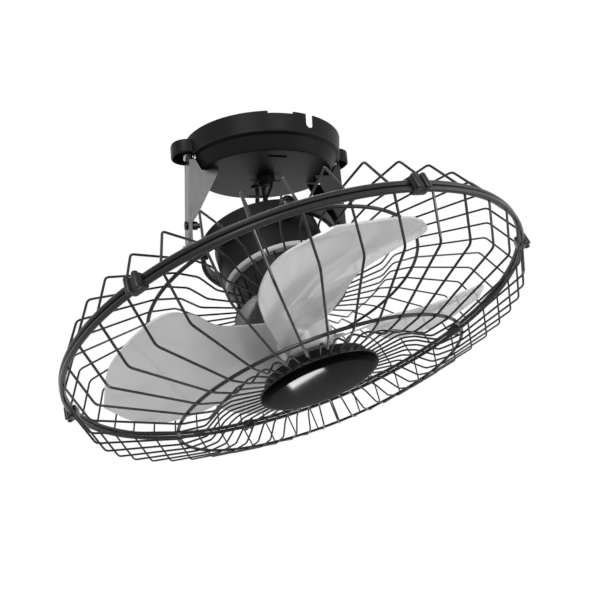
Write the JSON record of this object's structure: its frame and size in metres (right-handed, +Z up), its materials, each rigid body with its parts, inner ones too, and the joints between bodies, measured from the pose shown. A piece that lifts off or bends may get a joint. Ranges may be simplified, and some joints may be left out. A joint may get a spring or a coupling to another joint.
{
  "type": "orbital ceiling fan",
  "caption": "Orbital ceiling fan: a cup canopy with channel arms carries a gimballed motor, its wire guards and a broad-bladed propeller, led round in a cone by a crank.",
  "frame": {"origin": "middle of the ceiling plate's top face, where it meets the ceiling", "axes": "+Z up into the ceiling, X along the line of the two arms' pivots, -Y the side seen in the picture"},
  "size_m": [0.5096, 0.4818, 0.3831],
  "materials": {
    "black_paint": "satin",
    "grey_paint": "satin",
    "black_wire": "satin",
    "black_steel": "satin",
    "black_plastic": "satin",
    "gloss_black": "gloss",
    "grey_blade": "gloss",
    "white_plastic": "matte",
    "steel": "satin",
    "brass": "satin",
    "copper": "satin",
    "rubber": "matte"
  },
  "bodies": {
    "mounting": {"ceiling_plate": "steel", "cross_bar": "steel", "bar_screw_left": "steel", "bar_screw_right": "steel", "canopy": "black_paint", "arm_left": "black_paint", "arm_right": "black_paint", "arm_screw_left": "steel", "arm_screw_right": "steel", "stop_screw_left": "black_steel", "stop_screw_right": "black_steel", "stem": "steel", "stem_nut": "black_paint", "cross_pin": "black_steel", "swivel_post": "black_paint", "terminal_block": "white_plastic", "capacitor": "black_plastic", "cord_grommet": "rubber", "supply_cord": "rubber", "pivot_bolt_left": "steel", "pivot_bolt_right": "steel", "pivot_nut_left": "steel", "pivot_nut_right": "steel"},
    "gimbal": {"gimbal_ring": "black_paint", "arm_bush_left": "brass", "arm_bush_right": "brass", "head_bush_near": "brass", "head_bush_far": "brass"},
    "head": {"motor_body": "black_paint", "rear_cover": "black_paint", "slotted_ring": "grey_paint", "front_cover": "black_plastic", "stator_core": "steel", "winding": "copper", "bearing_rear": "steel", "bearing_front": "steel", "head_pivot_bolt_near": "black_steel", "head_pivot_bolt_far": "black_steel", "gear_case": "black_paint", "gear_lid": "black_paint", "motor_grommet": "rubber", "rear_guard": "black_wire", "front_guard": "black_wire", "guard_nut": "black_plastic", "badge_cap": "gloss_black", "badge_dish": "black_plastic", "badge_screw": "steel", "rim_clip_1": "black_wire", "rim_clip_2": "black_wire", "rim_clip_3": "black_wire", "rim_clip_4": "black_wire", "rim_clip_5": "black_wire", "rim_clip_6": "black_wire"},
    "rotor": {"propeller": "grey_blade", "spinner_nut": "black_plastic", "shaft": "steel", "rotor_core": "steel"},
    "layshaft": {"layshaft_gear": "white_plastic"},
    "crank": {"crank_shaft": "steel", "crank_arm": "steel"}
  },
  "joints": [
    {"name": "gimbal_tilt", "type": "hinge", "parent": "mounting", "child": "gimbal", "pos_m": [0, 0.007, -0.13], "axis": [1, 0, 0], "range_deg": [-0.86, 48.34], "deforming": ["supply_cord"]},
    {"name": "head_tilt", "type": "hinge", "parent": "gimbal", "child": "head", "pos_m": [0, 0.007, -0.13], "axis": [0, 0.9154, -0.4026], "range_deg": [-18.13, 31.07], "deforming": ["supply_cord"]},
    {"name": "rotor_spin", "type": "hinge", "parent": "head", "child": "rotor", "pos_m": [0, 0.007, -0.13], "axis": [-0.1127, 0.4, 0.9096], "continuous": true},
    {"name": "layshaft_spin", "type": "hinge", "parent": "head", "child": "layshaft", "pos_m": [0.01888, 0.00786, -0.12804], "axis": [-0.1127, 0.4, 0.9096], "continuous": true},
    {"name": "crank_spin", "type": "hinge", "parent": "head", "child": "crank", "pos_m": [0, 0.007, -0.13], "axis": [-0.1127, 0.4, 0.9096], "continuous": true}
  ],
  "couplings": [
    {"joint": "layshaft_spin", "follows": "rotor_spin", "ratio": -0.13333},
    {"joint": "crank_spin", "follows": "rotor_spin", "ratio": 0.017778}
  ]
}
